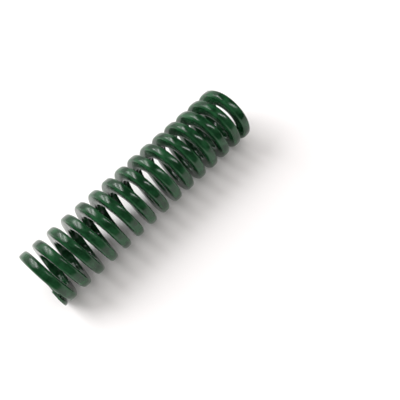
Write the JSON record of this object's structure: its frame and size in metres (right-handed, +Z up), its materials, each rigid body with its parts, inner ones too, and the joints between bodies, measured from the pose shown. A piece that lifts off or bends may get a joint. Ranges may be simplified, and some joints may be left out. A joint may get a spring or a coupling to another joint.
{
  "type": "die spring",
  "caption": "Right-hand compression spring of rectangular enamelled wire with closed, ground ends, for use in a bore or over a rod.",
  "frame": {"origin": "middle of the bounding box, on the plane the lowest flats of the coils lie on", "axes": "+X along the spring's axis from the fixed end to the moving end, +Z up, the spring lying on its side"},
  "size_m": [0.1, 0.025, 0.025],
  "materials": {
    "enamel": "glossy stoved enamel on spring steel"
  },
  "bodies": {
    "fixed_end": {"fixed_end_coil": "enamel"},
    "turn_01": {"working_turn_01": "enamel"},
    "turn_02": {"working_turn_02": "enamel"},
    "turn_03": {"working_turn_03": "enamel"},
    "turn_04": {"working_turn_04": "enamel"},
    "turn_05": {"working_turn_05": "enamel"},
    "turn_06": {"working_turn_06": "enamel"},
    "turn_07": {"working_turn_07": "enamel"},
    "turn_08": {"working_turn_08": "enamel"},
    "turn_09": {"working_turn_09": "enamel"},
    "turn_10": {"working_turn_10": "enamel"},
    "turn_11": {"working_turn_11": "enamel"},
    "turn_12": {"working_turn_12": "enamel"},
    "moving_end": {"moving_end_coil": "enamel"}
  },
  "joints": [
    {"name": "compression", "type": "slide", "parent": "fixed_end", "child": "moving_end", "axis": [-1, 0, 0], "range_m": [0, 0.024], "stiffness_N_per_m": 60000},
    {"name": "turn_01_travel", "type": "slide", "parent": "fixed_end", "child": "turn_01", "axis": [-1, 0, 0], "range_m": [0, 0.00186]},
    {"name": "turn_02_travel", "type": "slide", "parent": "fixed_end", "child": "turn_02", "axis": [-1, 0, 0], "range_m": [0, 0.0037]},
    {"name": "turn_03_travel", "type": "slide", "parent": "fixed_end", "child": "turn_03", "axis": [-1, 0, 0], "range_m": [0, 0.00555]},
    {"name": "turn_04_travel", "type": "slide", "parent": "fixed_end", "child": "turn_04", "axis": [-1, 0, 0], "range_m": [0, 0.00739]},
    {"name": "turn_05_travel", "type": "slide", "parent": "fixed_end", "child": "turn_05", "axis": [-1, 0, 0], "range_m": [0, 0.00924]},
    {"name": "turn_06_travel", "type": "slide", "parent": "fixed_end", "child": "turn_06", "axis": [-1, 0, 0], "range_m": [0, 0.01109]},
    {"name": "turn_07_travel", "type": "slide", "parent": "fixed_end", "child": "turn_07", "axis": [-1, 0, 0], "range_m": [0, 0.01293]},
    {"name": "turn_08_travel", "type": "slide", "parent": "fixed_end", "child": "turn_08", "axis": [-1, 0, 0], "range_m": [0, 0.01478]},
    {"name": "turn_09_travel", "type": "slide", "parent": "fixed_end", "child": "turn_09", "axis": [-1, 0, 0], "range_m": [0, 0.01663]},
    {"name": "turn_10_travel", "type": "slide", "parent": "fixed_end", "child": "turn_10", "axis": [-1, 0, 0], "range_m": [0, 0.01847]},
    {"name": "turn_11_travel", "type": "slide", "parent": "fixed_end", "child": "turn_11", "axis": [-1, 0, 0], "range_m": [0, 0.02032]},
    {"name": "turn_12_travel", "type": "slide", "parent": "fixed_end", "child": "turn_12", "axis": [-1, 0, 0], "range_m": [0, 0.02216]}
  ],
  "couplings": [
    {"joint": "turn_01_travel", "follows": "compression", "ratio": 0.076923},
    {"joint": "turn_02_travel", "follows": "compression", "ratio": 0.15385},
    {"joint": "turn_03_travel", "follows": "compression", "ratio": 0.23077},
    {"joint": "turn_04_travel", "follows": "compression", "ratio": 0.30769},
    {"joint": "turn_05_travel", "follows": "compression", "ratio": 0.38461},
    {"joint": "turn_06_travel", "follows": "compression", "ratio": 0.46154},
    {"joint": "turn_07_travel", "follows": "compression", "ratio": 0.53846},
    {"joint": "turn_08_travel", "follows": "compression", "ratio": 0.61538},
    {"joint": "turn_09_travel", "follows": "compression", "ratio": 0.69231},
    {"joint": "turn_10_travel", "follows": "compression", "ratio": 0.76923},
    {"joint": "turn_11_travel", "follows": "compression", "ratio": 0.84615},
    {"joint": "turn_12_travel", "follows": "compression", "ratio": 0.92308}
  ]
}
